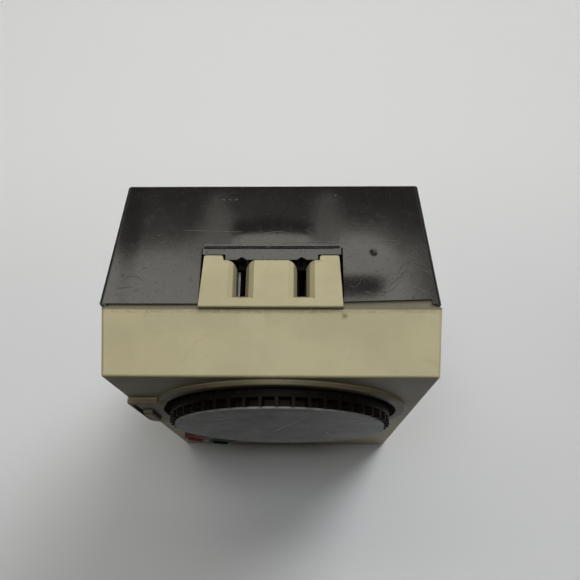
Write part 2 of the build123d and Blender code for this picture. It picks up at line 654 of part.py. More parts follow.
def make_moving_contact():
    """Spring leaf with a rolled root that it swings about and a contact rivet near its free end."""
    depth = (LEAF_DEPTH[0], 10.3)
    leaf = block(LEAF_X, depth, (PIVOT_Z, 72.0)) + rod(PIVOT_X, PIVOT_Z, PIVOT_RADIUS, depth)
    middle = (depth[0] + depth[1]) / 2
    rivet = Pos(LEAF_X[1] + 0.4, y_at(middle), BUTTON_Z) * Rot(0, 90, 0) * Cylinder(0.8, 0.8)
    return leaf + rivet


def make_fixed_contact():
    """Stiff contact blade that the moving leaf closes on; its tail leaves the base below."""
    depth = (LEAF_DEPTH[0] + 0.05, 11.8)
    blade = block((-24.25, -23.75), depth, (40.0, 72.0))
    rivet = Pos(-24.65, y_at(9.45), BUTTON_Z) * Rot(0, 90, 0) * Cylinder(0.8, 0.8)
    return blade + rivet


def make_live_strap():
    """Strip from the fixed contact's tail to the live blade."""
    strap = block((-24.25, -23.65), (8.7, STRAP_DEPTH[0]), LIVE_TAIL_Z)
    strap += block((-24.25, -8.0), STRAP_DEPTH, LIVE_TAIL_Z)
    strap += block((-12.0, -8.0), STRAP_DEPTH, (LIVE_TAIL_Z[0], BLADE_Z + 2))
    return strap + block((-12.0, -4.5), STRAP_DEPTH, (BLADE_Z - 2, BLADE_Z + 2))


def make_switched_strap():
    """Strip from the leaf's root to the left outlet contact."""
    strap = block((-28.4, -27.8), (13.0, 16.0), (43.0, STRAP_TOP))
    return strap + block((-28.4, -4.8), (13.0, 20.0), (STRAP_TOP - STRAP_THICK, STRAP_TOP))


def make_neutral_strap():
    """Strip from the neutral blade up to the right outlet contact."""
    strap = block((4.5, 8.5), STRAP_DEPTH, (BLADE_Z - 2.5, STRAP_TOP))
    return strap + block((4.5, 8.5), (18.0, STRAP_DEPTH[1]), (STRAP_TOP - STRAP_THICK, STRAP_TOP))


# ---------------------------------------------------------------- write the parts
def write(name, shape):
    """One STEP file per node; a list becomes a group of solids."""
    solids = shape if isinstance(shape, list) else [shape]
    group = Compound(children=solids) if len(solids) > 1 else solids[0]
    export_step(group, f"parts/{name}.step")


NODES = {
    "front_shell": make_front_shell(),
    "rear_shell": make_rear_shell(),
    "outlet_carrier": make_outlet_carrier(),
    "outlet_contact_live": make_outlet_contact(-1),
    "outlet_contact_neutral": make_outlet_contact(1),
    "plug_blade_live": make_plug_blade(-1),
    "plug_blade_neutral": make_plug_blade(1),
    "blade_holder": make_blade_holder(),
    "blade_holder_screws": make_blade_holder_screws(),
    "housing_screws": make_housing_screws(),
    "rating_label": make_rating_label(),
    "dial_ring": make_dial_ring(),
    "dial_disc": make_dial_disc(),
    "off_tripper": make_tripper(OFF_POCKET),
    "on_tripper": make_tripper(ON_POCKET),
    "dial_gear": make_dial_gear(),
    "clutch_washer": make_clutch_washer(),
    "hub_clip": make_hub_clip(),
    "dial_post": make_dial_post(),
    "idler_post": make_idler_post(),
    "idler_pinion": make_idler_pinion(),
    "idler_wheel": make_idler_wheel(),
    "motor_pinion": make_motor_pinion(),
    "motor_shaft": make_motor_shaft(),
    "motor_rotor": make_motor_rotor(),
    "motor_can": make_motor_can(),
    "motor_cover": make_motor_cover(),
    "motor_bearing": make_motor_bearing(),
    "motor_coil": make_motor_coil(),
    "motor_leads": make_motor_leads(),
    "motor_screws": make_motor_screws(),
    "mechanism_plate": make_mechanism_plate(),
    "plate_screws": make_plate_screws(),
    "trip_slide": make_trip_slide(),
    "switch_base": make_switch_base(),
    "switch_screw": make_switch_screw(),
    "moving_contact": make_moving_contact(),
    "fixed_contact": make_fixed_contact(),
    "live_strap": make_live_strap(),
    "switched_strap": make_switched_strap(),
    "neutral_strap": make_neutral_strap(),
}

os.makedirs("parts", exist_ok=True)
for node, solid in NODES.items():
    write(node, solid)
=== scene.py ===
import math

import bmesh
import bpy
from mathutils import Matrix, Vector


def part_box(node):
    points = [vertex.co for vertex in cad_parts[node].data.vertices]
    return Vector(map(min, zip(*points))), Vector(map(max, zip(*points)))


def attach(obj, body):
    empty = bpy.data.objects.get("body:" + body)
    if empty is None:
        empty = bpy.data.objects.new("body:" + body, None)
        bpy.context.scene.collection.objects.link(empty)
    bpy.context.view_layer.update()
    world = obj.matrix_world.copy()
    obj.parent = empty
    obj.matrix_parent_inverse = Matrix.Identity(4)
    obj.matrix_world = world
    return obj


# A used plug-in 24-hour timer: cream front, brown-black rear shell, grey dial with red and green trippers.
# Places are in millimetres: +X right, +Y from the face to the back, +Z up.

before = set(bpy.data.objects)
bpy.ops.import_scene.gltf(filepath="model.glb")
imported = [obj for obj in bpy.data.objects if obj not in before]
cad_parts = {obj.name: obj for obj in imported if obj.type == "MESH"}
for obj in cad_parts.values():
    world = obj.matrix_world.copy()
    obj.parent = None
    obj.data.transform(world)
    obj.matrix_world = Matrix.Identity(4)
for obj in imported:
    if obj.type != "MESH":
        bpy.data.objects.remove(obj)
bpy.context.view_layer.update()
MM = 0.001


# ---------------------------------------------------------------- node helpers
def add(tree, kind, settings=None, **inputs):
    """Adds a shader node; settings are its properties, inputs its sockets (values or links)."""
    made = tree.nodes.new("ShaderNode" + kind)
    for key, value in (settings or {}).items():
        setattr(made, key, value)
    for key, value in inputs.items():
        connect(tree, made.inputs[key.replace("_", " ")], value)
    return made


def connect(tree, socket, value):
    """Links an output socket to an input, or sets the input's value."""
    if isinstance(value, bpy.types.NodeSocket):
        tree.links.new(value, socket)
    else:
        socket.default_value = value


def calc(tree, operation, first, second=0.0, clamp=False):
    """Math node."""
    made = tree.nodes.new("ShaderNodeMath")
    made.operation = operation
    made.use_clamp = clamp
    connect(tree, made.inputs[0], first)
    connect(tree, made.inputs[1], second)
    return made.outputs[0]


def combined(tree, operation, values):
    """Several values taken together by one operation."""
    result = values[0]
    for value in values[1:]:
        result = calc(tree, operation, result, value)
    return result


def total(tree, *values):
    """Sum of several values."""
    return combined(tree, "ADD", values)


def product(tree, *values):
    """Product of several values."""
    return combined(tree, "MULTIPLY", values)


def strongest(tree, *values):
    """Largest of several values."""
    return combined(tree, "MAXIMUM", values)


def ease(tree, value, low, high):
    """0 below low, 1 above high, smooth between them."""
    smooth = {"interpolation_type": "SMOOTHSTEP"}
    made = add(tree, "MapRange", smooth, Value=value, From_Min=low, From_Max=high)
    return made.outputs["Result"]


def fade(tree, value, low, high):
    """1 below low, 0 above high, smooth between them."""
    return calc(tree, "SUBTRACT", 1.0, ease(tree, value, low, high), clamp=True)


def between(tree, value, low, high, soft):
    """1 between two limits, with soft ends."""
    rise = ease(tree, value, low - soft, low + soft)
    fall = ease(tree, value, high - soft, high + soft)
    return calc(tree, "SUBTRACT", rise, fall, clamp=True)


def hill(tree, value, centre, width):
    """1 where the value is at the centre, falling smoothly to 0 a few widths away."""
    offset = calc(tree, "DIVIDE", calc(tree, "SUBTRACT", value, centre), width)
    return calc(tree, "POWER", math.e, product(tree, offset, offset, -1.0))


def mix(tree, factor, first, second):
    """Mixes two colours."""
    made = tree.nodes.new("ShaderNodeMix")
    made.data_type = "RGBA"
    connect(tree, made.inputs[0], factor)
    connect(tree, made.inputs[6], first)
    connect(tree, made.inputs[7], second)
    return made.outputs[2]


def rgb(colour, tint=1.0):
    """Opaque colour from three linear values, darker or paler by a factor."""
    return (*[channel * tint for channel in colour], 1.0)


def grey(value):
    """Neutral colour."""
    return (value, value, value)


def noise(tree, position, scale, detail=3.0, rough=0.55, warp=0.0):
    """Noise value; scale is in features per millimetre."""
    made = add(tree, "TexNoise", None, Vector=position, Scale=scale, Detail=detail, Roughness=rough,
               Distortion=warp)
    return made.outputs["Fac"]


def swing(tree, position, scale, reach):
    """Noise about 0, times a reach."""
    return calc(tree, "MULTIPLY", calc(tree, "SUBTRACT", noise(tree, position, scale), 0.5), reach)


def stretched(tree, position, turn, squeeze):
    """Position turned by three angles in degrees, then squeezed, for streaks."""
    angles = [math.radians(angle) for angle in turn]
    made = add(tree, "Mapping", {"vector_type": "POINT"}, Vector=position, Rotation=angles, Scale=squeeze)
    return made.outputs["Vector"]


def axes(tree, vector):
    """X, Y and Z of a vector."""
    return add(tree, "SeparateXYZ", None, Vector=vector).outputs


def distance_from(tree, position, place):
    """Distance from a place, in millimetres."""
    made = add(tree, "VectorMath", {"operation": "DISTANCE"}, Vector=position)
    made.inputs[1].default_value = place
    return made.outputs["Value"]


def flat_position(tree, position, plane):
    """Position in one of the planes XY or XZ, as a vector with Z at 0."""
    outputs = axes(tree, position)
    return add(tree, "CombineXYZ", None, X=outputs[plane[0]], Y=outputs[plane[1]], Z=0.0).outputs["Vector"]


def line_mark(tree, position, start, end, width, plane="XY"):
    """1 on a thin straight mark between two points of a plane, 0 elsewhere."""
    middle = ((start[0] + end[0]) / 2, (start[1] + end[1]) / 2, 0.0)
    angle = math.atan2(end[1] - start[1], end[0] - start[0])
    half = math.hypot(end[0] - start[0], end[1] - start[1]) / 2
    flat = flat_position(tree, position, plane)
    turned = add(tree, "VectorRotate", {"rotation_type": "Z_AXIS"}, Vector=flat, Center=middle, Angle=-angle)
    local = axes(tree, turned.outputs["Vector"])
    wobble = swing(tree, position, 0.35, 4 * width)
    across = calc(tree, "ABSOLUTE", total(tree, local["Y"], wobble, -middle[1]))
    along = calc(tree, "ABSOLUTE", calc(tree, "SUBTRACT", local["X"], middle[0]))
    return product(tree, fade(tree, across, width * 0.3, width), fade(tree, along, half * 0.7, half))


def arc_mark(tree, position, centre, radius, width, facing, opening):
    """1 on a thin arc in XY that faces a direction and opens by an angle to each side of it, in degrees."""
    offset = add(tree, "VectorMath", {"operation": "SUBTRACT"}, Vector=flat_position(tree, position, "XY"))
    offset.inputs[1].default_value = (centre[0], centre[1], 0.0)
    distance = add(tree, "VectorMath", {"operation": "LENGTH"}, Vector=offset.outputs["Vector"])
    direction = add(tree, "VectorMath", {"operation": "NORMALIZE"}, Vector=offset.outputs["Vector"])
    cosine = add(tree, "VectorMath", {"operation": "DOT_PRODUCT"}, Vector=direction.outputs["Vector"])
    cosine.inputs[1].default_value = (math.cos(math.radians(facing)), math.sin(math.radians(facing)), 0.0)
    wobble = swing(tree, position, 0.3, 14 * width)
    error = calc(tree, "ABSOLUTE", total(tree, distance.outputs["Value"], wobble, -radius))
    limit = math.cos(math.radians(opening))
    inside = ease(tree, cosine.outputs["Value"], limit, limit + 0.15 * (1 - limit))
    return product(tree, fade(tree, error, width * 0.3, width), inside)


def line_marks(tree, position, ends, width, plane="XY"):
    """1 on any of several thin straight marks."""
    return strongest(tree, *[line_mark(tree, position, start, end, width, plane) for start, end in ends])


def new_material(name):
    """Empty material with its tree, its shader and the position in millimetres."""
    made = bpy.data.materials.new(name)
    made.use_nodes = True
    tree = made.node_tree
    shader = tree.nodes["Principled BSDF"]
    where = add(tree, "TexCoord").outputs["Object"]
    position = add(tree, "VectorMath", {"operation": "SCALE"}, Vector=where, Scale=1 / MM).outputs["Vector"]
    return made, tree, shader, position


def surface(tree, shader, colour, rough, height):
    """Connects a material's colour, its roughness and the height of its bump in millimetres."""
    connect(tree, shader.inputs["Base Color"], colour)
    connect(tree, shader.inputs["Roughness"], rough)
    normal = add(tree, "Bump", None, Height=height, Distance=MM, Strength=1.0).outputs["Normal"]
    connect(tree, shader.inputs["Normal"], normal)


# ---------------------------------------------------------------- places on the object
def corners(node):
    """Lowest and highest corners of a CAD node in millimetres."""
    low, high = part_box(node)
    return [value / MM for value in low], [value / MM for value in high]


disc_low, disc_high = corners("dial_disc")
DISC_X = (disc_low[0] + disc_high[0]) / 2
DISC_Z = (disc_low[2] + disc_high[2]) / 2
DISC_FRONT = disc_low[1]

rear_low, rear_high = corners("rear_shell")
HOUSING_TOP = rear_high[2]
BACK_Y = rear_high[1]
FACE_Y = -BACK_Y

# the rear shell tapers from its seam to the back, and sits a little to the left
REAR_X = (rear_low[0] + rear_high[0]) / 2
REAR_HALF = (rear_high[0] - rear_low[0]) / 2
REAR_START = FACE_Y + 15.15
BACK_HALF = 32.55
REAR_TAPER = (REAR_HALF - BACK_HALF) / (BACK_Y - REAR_START)

# the band's rear edge, the outlet tab and the cut-out of the rear shell behind it
BAND_EDGE = FACE_Y + 13.7
TAB_FRONT = FACE_Y + 14.06
TAB_HALF = 15.0
CUTOUT_Y = FACE_Y + 28.1
CUTOUT_HALF = 14.4


# ---------------------------------------------------------------- cream plastic
CREAM = (0.53, 0.475, 0.28)
CREAM_SHADE = (0.465, 0.41, 0.24)
# dirty brown of the cream; the same colour also paints shade on the raised parts, over the lower face and in
# the tab's crease
CREAM_DIRT_AND_SHADE = (0.17, 0.125, 0.07)
# painted shade for the cream ledge in the gap below the black shell's front edge
SEAM_LEDGE_SHADE = (0.075, 0.065, 0.042)
DIRT_SPOT = (15.2, -9.3, 98.2)
LOWER_FACE_Z = (12.0, 48.0)
# darker cream for the knob: grimy soiling together with painted shade, as on the pad round it
KNOB_GRIME_AND_SHADE = 0.52


def seam_wear(tree, where, ragged):
    """1 on the worn patches of the band's top edge at the seam."""
    strip = between(tree, where["Y"], BAND_EDGE - 0.7, BAND_EDGE + 0.1, 0.25)
    near_top = ease(tree, where["Z"], HOUSING_TOP - 2.6, HOUSING_TOP - 1.6)
    return product(tree, strip, near_top, ease(tree, ragged, 0.40, 0.62))


def tab_crease(tree, where, ragged):
    """1 in the crease where the front edge of the tab meets the band: a dirty line together with painted
    shade under the tab's edge.
    """
    line = between(tree, where["Y"], TAB_FRONT - 0.30, TAB_FRONT + 0.12, 0.12)
    width = between(tree, where["X"], -TAB_HALF, TAB_HALF, 0.2)
    below_tab = fade(tree, where["Z"], HOUSING_TOP + 0.31, HOUSING_TOP + 0.51)
    return product(tree, line, width, below_tab, ease(tree, ragged, 0.25, 0.45))


def dirt_spot(tree, position, ragged):
    """1 in a small ragged spot beside the tab's corner."""
    unevenness = product(tree, calc(tree, "SUBTRACT", ragged, 0.5), 2.2)
    reach = total(tree, distance_from(tree, position, DIRT_SPOT), unevenness)
    return fade(tree, reach, 0.2, 0.9)


def handling(tree, where, off_tab):
    """Darkens the face towards the dirty brown: grimy soiling together with painted shade on the raised
    parts, painted shade over its lower half, and all but the tab's top a little darker.
    """
    # grimy soiling together with painted shade on the parts raised in front of the face
    proud = fade(tree, where["Y"], FACE_Y - 0.4, FACE_Y - 0.1)
    front = fade(tree, where["Y"], FACE_Y + 0.1, FACE_Y + 2.0)
    # painted shade: the lower half of the face made darker
    low_face_shade = product(tree, fade(tree, where["Z"], *LOWER_FACE_Z), front, 0.40)
    return total(tree, product(tree, proud, 0.75), low_face_shade, product(tree, off_tab, 0.07))


def cream_plastic(name, tint=1.0):
    """Aged beige plastic: yellowed clouds, dirty specks and smudges, a worn, grimy seam edge, painted shade
    on the ledge at the seam and in the tab's crease, grimy soiling with painted shade on the raised parts,
    painted shade over the lower face, and a fine moulded grain.
    """
    made, tree, shader, position = new_material(name)
    where = axes(tree, position)
    dirt_and_shade = rgb(CREAM_DIRT_AND_SHADE)
    cloud = ease(tree, noise(tree, position, 0.06, 4.0), 0.38, 0.66)
    fine = ease(tree, noise(tree, position, 0.5, 5.0, 0.7), 0.62, 0.80)
    smudge = ease(tree, noise(tree, position, 0.13, 5.0, 0.65, 1.0), 0.58, 0.80)
    ragged = noise(tree, position, 0.9, 4.0, 0.7)
    worn = seam_wear(tree, where, ragged)
    # worn seam edge, a brown spot beside the tab, and a dirty line with painted shade in the tab's crease
    grime_and_crease_shade = strongest(tree, product(tree, worn, 0.12), product(tree, tab_crease(tree, where, ragged), 0.85),
                      product(tree, dirt_spot(tree, position, ragged), 0.95))
    off_tab = fade(tree, where["Z"], HOUSING_TOP + 0.06, HOUSING_TOP + 0.26)
    # painted shade: the cream ledge behind the band, under the black shell's edge, made nearly black
    ledge_shade = product(tree, ease(tree, where["Y"], BAND_EDGE + 0.05, BAND_EDGE + 0.3), off_tab)

    colour = mix(tree, cloud, rgb(CREAM, tint), rgb(CREAM_SHADE, tint))
    colour = mix(tree, product(tree, fine, 0.28), colour, dirt_and_shade)
    colour = mix(tree, product(tree, smudge, 0.24), colour, dirt_and_shade)
    colour = mix(tree, grime_and_crease_shade, colour, dirt_and_shade)
    colour = mix(tree, product(tree, ledge_shade, 0.75), colour, rgb(SEAM_LEDGE_SHADE))
    # grimy soiling with painted shade on the raised parts, painted shade over the lower face, all but the tab
    # a little darker
    colour = mix(tree, handling(tree, where, off_tab), colour, dirt_and_shade)
    rough = total(tree, 0.40, product(tree, noise(tree, position, 0.3, 4.0), 0.2), product(tree, smudge, 0.1))
    grain = product(tree, noise(tree, position, 3.0, 2.0), 0.012)
    wave = product(tree, noise(tree, position, 0.05, 2.0), 0.12)
    chips = product(tree, worn, ragged, -0.12)
    surface(tree, shader, colour, rough, total(tree, grain, wave, chips))
    return made


# ---------------------------------------------------------------- black plastic
BLACK = (0.0125, 0.0105, 0.0098)
BLACK_WORN = (0.018, 0.0155, 0.0145)
BLACK_HAZE = (0.12, 0.11, 0.10)
BLACK_SPECK = (0.22, 0.20, 0.17)
BLACK_SCRATCH = (0.11, 0.10, 0.09)
CHALK_WHITE = (0.40, 0.38, 0.34)

# uneven places of the top wall
SINK_X = (-12.3, 12.1)
SINK_WIDTH = 2.6
VALLEY_Y = (3.0, 21.0)
ARCH_X = (-8.0, 8.5)
ARCH_Y = 10.0
ARCH_BOW = 0.012
DIP_X = (12.0, 24.0)
DIP_Y = 0.5
LOW_LEFT_X = (-33.5, -28.0)
NICK = (21.7, 5.1, 98.1)
NICK_SIZE = 0.55
RIM_BAND = (-1.05, -0.35)

SCRATCH_WIDTH = 0.10
CURL_WIDTH = 0.07
CHALK_WIDTH = 0.16

# straight scratches on the top: start and end in XY
SCRATCHES = (
    ((-6.0, 5.2), (4.0, 7.6)), ((4.0, 7.6), (18.0, 7.4)), ((18.0, 7.4), (27.0, 7.9)),
    ((7.0, 10.8), (9.0, 9.2)), ((20.6, 5.6), (21.6, 4.2)), ((21.4, 4.1), (22.6, 5.5)),
    ((24.5, -3.0), (28.8, 1.2)), ((16.5, 4.0), (19.0, 5.2)), ((-33.0, -3.5), (-28.5, -3.0)),
    ((-20.0, 10.5), (-6.0, 10.0)), ((25.0, -1.0), (33.0, -4.6)),
)
# curved scratches on the top: centre in XY, radius, direction that they face and half opening in degrees
CURLS = (
    ((17.2, -1.5), 1.5, 20, 150), ((30.0, -0.5), 3.4, 100, 95), ((31.5, -1.5), 2.2, 60, 110),
    ((26.0, -4.6), 4.8, 75, 50), ((-24.0, 8.4), 1.1, 0, 175), ((-17.8, 3.5), 0.9, 0, 175),
    ((-29.5, -4.6), 4.0, 90, 45), ((1.0, 3.6), 6.5, 90, 40), ((22.0, 0.5), 5.2, 300, 60),
)
# small pale dashes at the rear of the top
CHALK = (
    ((-11.3, 18.4), (-10.7, 18.2)), ((-9.9, 18.3), (-9.4, 18.2)), ((-8.6, 18.1), (-7.9, 18.3)),
    ((13.5, 19.3), (14.0, 19.5)),
)


def top_relief(tree, where, position, sinks):
    """Height of the top: sinks over the ribs, an arch behind the outlet, a dip beside it, a low left edge."""
    valley = product(tree, sinks, ease(tree, where["Y"], *VALLEY_Y), 0.05)
    bowed = total(tree, product(tree, where["X"], where["X"], ARCH_BOW), where["Y"])
    arch = product(tree, hill(tree, bowed, ARCH_Y, 2.4), between(tree, where["X"], *ARCH_X, 2.0), 0.12)
    dip = product(tree, hill(tree, where["Y"], DIP_Y, 5.0), between(tree, where["X"], *DIP_X, 3.5), -0.42)
    left_edge = product(tree, ease(tree, where["X"], *LOW_LEFT_X), 0.34)
    swell = product(tree, noise(tree, position, 0.045, 1.5, 0.4), 0.25)
    groove = product(tree, hill(tree, where["Y"], CUTOUT_Y, 0.4),
                     between(tree, where["X"], -CUTOUT_HALF, CUTOUT_HALF, 0.3), -0.25)
    return total(tree, valley, arch, dip, left_edge, swell, groove)


def side_rim(tree, where):
    """1 in a narrow band along the two side edges of the tapered shell."""
    across = calc(tree, "ABSOLUTE", calc(tree, "SUBTRACT", where["X"], REAR_X))
    taper = product(tree, calc(tree, "SUBTRACT", where["Y"], REAR_START), REAR_TAPER)
    return ease(tree, total(tree, across, taper, -REAR_HALF), *RIM_BAND)


def black_plastic(name):
    """Brown-black moulded plastic: worn gloss, sinks over the ribs under the top, scratches and dust."""
    made, tree, shader, position = new_material(name)
    where = axes(tree, position)
    facing = axes(tree, add(tree, "TexCoord").outputs["Normal"])
    on_top = ease(tree, facing["Z"], 0.5, 0.8)
    sinks = total(tree, *[hill(tree, where["X"], x, SINK_WIDTH) for x in SINK_X])
    rim = side_rim(tree, where)

    curls = [arc_mark(tree, position, centre, radius, CURL_WIDTH, toward, opening)
             for centre, radius, toward, opening in CURLS]
    straight = line_marks(tree, position, SCRATCHES, SCRATCH_WIDTH)
    scratches = product(tree, strongest(tree, straight, *curls), on_top)
    chalk = product(tree, line_marks(tree, position, CHALK, CHALK_WIDTH), on_top)
    hairlines = stretched(tree, position, (0, 0, 28), (0.35, 4.0, 0.35))
    rub = product(tree, ease(tree, noise(tree, hairlines, 0.9, 3.0, 0.7), 0.60, 0.72),
                  ease(tree, noise(tree, position, 0.09, 2.0), 0.42, 0.62))
    specks = ease(tree, noise(tree, position, 1.6, 3.0, 0.8), 0.68, 0.78)
    haze = ease(tree, noise(tree, position, 0.6, 5.0, 0.75), 0.50, 0.72)
    pit_place = stretched(tree, position, (10, 20, 0), (1, 1, 1))
    fewer_behind = total(tree, 1.0, product(tree, ease(tree, where["Y"], CUTOUT_Y, 16.0), -0.7))
    pits = product(tree, ease(tree, noise(tree, pit_place, 1.3, 3.0, 0.8), 0.60, 0.76), fewer_behind)
    nick = hill(tree, distance_from(tree, position, NICK), 0.0, NICK_SIZE)
    film = noise(tree, position, 0.12, 5.0, 0.65)

    colour = mix(tree, noise(tree, position, 0.1, 3.0), rgb(BLACK), rgb(BLACK_WORN))
    colour = mix(tree, product(tree, haze, 0.08), colour, rgb(BLACK_HAZE))
    colour = mix(tree, product(tree, specks, 0.12), colour, rgb(BLACK_SPECK))
    colour = mix(tree, product(tree, pits, 0.6), colour, rgb(grey(0.004)))
    colour = mix(tree, product(tree, scratches, 0.45), colour, rgb(BLACK_SCRATCH))
    colour = mix(tree, product(tree, chalk, 0.3), colour, rgb(CHALK_WHITE))
    rough = total(tree, 0.10, product(tree, film, 0.10), product(tree, rub, 0.10), product(tree, specks, 0.2),
                  product(tree, pits, 0.13), product(tree, rim, 0.35),
                  product(tree, sinks, between(tree, where["Y"], 6.0, 20.0, 2.5), 0.14))
    height = total(tree, product(tree, on_top, top_relief(tree, where, position, sinks)),
                   product(tree, noise(tree, position, 2.2, 3.0), 0.006), product(tree, scratches, -0.012),
                   product(tree, pits, -0.013), product(tree, nick, -0.25), product(tree, rub, 0.002))
    surface(tree, shader, colour, rough, height)
    return made


# ---------------------------------------------------------------- dial
DISC_DARK = (0.19, 0.195, 0.185)
DISC_LIGHT = (0.32, 0.325, 0.31)
DISC_SCUFF = (0.55, 0.55, 0.53)
DISC_PALE = (0.95, 0.95, 0.90)
DISC_DEEP = (0.06, 0.06, 0.055)
DISC_SPECK = (0.66, 0.66, 0.64)
RING_BLACK = (0.009, 0.0075, 0.006)
RING_WORN = (0.014, 0.012, 0.010)
RING_DUST = (0.095, 0.065, 0.05)
PALE_WIDTH = 0.22
DEEP_WIDTH = 0.20

# pale and dark scratches on the disc: start and end in XZ
PALE_MARKS = (
    ((-1.9, 57.5), (8.8, 84.4)), ((5.1, 69.4), (8.2, 66.3)), ((-6.4, 62.1), (-3.8, 59.9)),
    ((19.9, 68.6), (22.8, 68.6)), ((-14.0, 76.0), (-9.5, 79.2)), ((12.0, 60.0), (14.2, 55.0)),
    ((-20.0, 64.0), (-15.5, 66.5)),
)
DEEP_MARKS = (
    ((-1.3, 86.4), (-0.1, 79.2)), ((-8.7, 84.4), (-7.7, 81.4)), ((16.2, 78.8), (19.0, 79.2)),
    ((-18.4, 70.8), (-16.8, 71.3)), ((-4.0, 70.0), (2.0, 74.0)),
)


def disc_plastic(name):
    """Dull grey dial face: fine turned scuffs, long scratches and paler rubbed patches."""
    made, tree, shader, position = new_material(name)
    cloud = ease(tree, noise(tree, position, 0.12, 4.0, 0.6), 0.35, 0.65)
    pale = line_marks(tree, position, PALE_MARKS, PALE_WIDTH, "XZ")
    deep = line_marks(tree, position, DEEP_MARKS, DEEP_WIDTH, "XZ")
    scuff_place = stretched(tree, position, (0, 35, 0), (0.3, 1.0, 4.0))
    scuff = ease(tree, noise(tree, scuff_place, 0.8, 4.0, 0.7), 0.58, 0.75)
    speck = ease(tree, noise(tree, position, 1.1, 3.0, 0.8), 0.70, 0.78)

    colour = mix(tree, cloud, rgb(DISC_DARK), rgb(DISC_LIGHT))
    colour = mix(tree, product(tree, scuff, 0.35), colour, rgb(DISC_SCUFF))
    colour = mix(tree, product(tree, pale, 0.95), colour, rgb(DISC_PALE))
    colour = mix(tree, product(tree, deep, 0.75), colour, rgb(DISC_DEEP))
    colour = mix(tree, product(tree, speck, 0.6), colour, rgb(DISC_SPECK))
    rough = total(tree, 0.36, product(tree, noise(tree, position, 0.3, 4.0), 0.22), product(tree, scuff, 0.1))
    height = total(tree, product(tree, pale, -0.03), product(tree, deep, -0.04), product(tree, scuff, 0.004),
                   product(tree, noise(tree, position, 3.0, 2.0), 0.005))
    surface(tree, shader, colour, rough, height)
    return made


def ring_plastic(name):
    """Dull black ring with pale brown dust in its pockets."""
    made, tree, shader, position = new_material(name)
    dust = ease(tree, noise(tree, position, 1.3, 5.0, 0.75), 0.56, 0.72)
    black = mix(tree, noise(tree, position, 0.5, 4.0), rgb(RING_BLACK), rgb(RING_WORN))
    colour = mix(tree, product(tree, dust, 0.5), black, rgb(RING_DUST))
    surface(tree, shader, colour, total(tree, 0.42, product(tree, dust, 0.3)), product(tree, dust, 0.02))
    shader.inputs["Specular IOR Level"].default_value = 0.06
    return made


# ---------------------------------------------------------------- other materials
def plain(name, colour, rough, metal=0.0, spread=0.25, streak=1.0, gloss=0.5):
    """Worn plain surface: uneven colour and roughness and a fine bump; streak squeezes them along Z."""
    made, tree, shader, position = new_material(name)
    place = stretched(tree, position, (0, 0, 0), (1, 1, streak))
    uneven_colour = mix(tree, noise(tree, place, 0.5, 4.0), rgb(colour, 1 - spread), rgb(colour))
    uneven_rough = total(tree, rough - 0.08, product(tree, noise(tree, place, 1.5, 3.0), 0.16))
    surface(tree, shader, uneven_colour, uneven_rough, product(tree, noise(tree, place, 3.0, 2.0), 0.004))
    shader.inputs["Metallic"].default_value = metal
    shader.inputs["Specular IOR Level"].default_value = gloss
    return made


def assign(made, *nodes):
    """Gives the CAD nodes this material."""
    for name in nodes:
        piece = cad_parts[name]
        piece.data.materials.clear()
        piece.data.materials.append(made)


def finish_outside():
    """Materials of the pieces that can be seen."""
    assign(cream_plastic("aged_cream"), "front_shell")
    # the knob is a darker copy of the cream: grimy soiling together with painted shade
    assign(cream_plastic("knob_cream_grimy_shaded", KNOB_GRIME_AND_SHADE), "trip_slide")
    assign(black_plastic("shell_black"), "rear_shell")
    assign(black_plastic("carrier_black"), "outlet_carrier")
    assign(ring_plastic("rim_black"), "dial_ring")
    assign(disc_plastic("disc_grey"), "dial_disc")
    assign(plain("tripper_red", (0.27, 0.070, 0.052), 0.55, gloss=0.2), "off_tripper")
    # painted shade: the green tripper is made nearly black, as it sits in the shade under the dial's edge
    assign(plain("tripper_green", (0.006, 0.030, 0.012), 0.6, gloss=0.2), "on_tripper")
    assign(plain("tinned_strip", (0.30, 0.31, 0.31), 0.40, 1.0, spread=0.5), "outlet_contact_live")
    # painted shade: the neutral contact is made nearly black, as it lies in shade in its slot; the live one
    # is bright
    assign(plain("neutral_strip_shaded", (0.020, 0.019, 0.018), 0.5, 1.0, spread=0.5), "outlet_contact_neutral")
    assign(plain("blade_metal", (0.74, 0.62, 0.38), 0.3, 1.0, streak=0.2), "plug_blade_live",
           "plug_blade_neutral")
    assign(plain("label_foil", (0.62, 0.62, 0.60), 0.3, 1.0, streak=0.15), "rating_label")


def finish_inside():
    """Materials of the mechanism and of all screws."""
    assign(plain("nylon", (0.78, 0.76, 0.68), 0.45, spread=0.1), "dial_gear", "idler_pinion", "idler_wheel")
    assign(plain("phenolic", (0.13, 0.06, 0.03), 0.5), "blade_holder", "switch_base")
    assign(plain("brass_strip", (0.72, 0.52, 0.24), 0.34, 1.0), "fixed_contact", "moving_contact",
           "live_strap", "switched_strap", "neutral_strap", "motor_bearing", "motor_pinion")
    assign(plain("zinc_sheet", (0.56, 0.57, 0.57), 0.38, 1.0), "mechanism_plate", "clutch_washer",
           "hub_clip", "motor_can", "motor_cover")
    assign(plain("screw_steel", grey(0.58), 0.32, 1.0), "blade_holder_screws", "housing_screws", "dial_post",
           "idler_post", "motor_screws", "plate_screws", "switch_screw", "motor_shaft")
    assign(plain("winding", (0.34, 0.10, 0.03), 0.35, streak=8.0), "motor_coil")
    assign(plain("ferrite", (0.07, 0.07, 0.075), 0.55), "motor_rotor")
    assign(plain("lead_sleeve", (0.04, 0.04, 0.042), 0.45), "motor_leads")


# ---------------------------------------------------------------- the dial's figures
HOURS = 24
NUMERAL_RADIUS = 20.4
NUMERAL_SIZE = 4.6
NUMERAL_RELIEF = 0.05
NUMERAL_GREY = (0.50, 0.50, 0.48)
FIRST_HOUR_ANGLE = 84.0


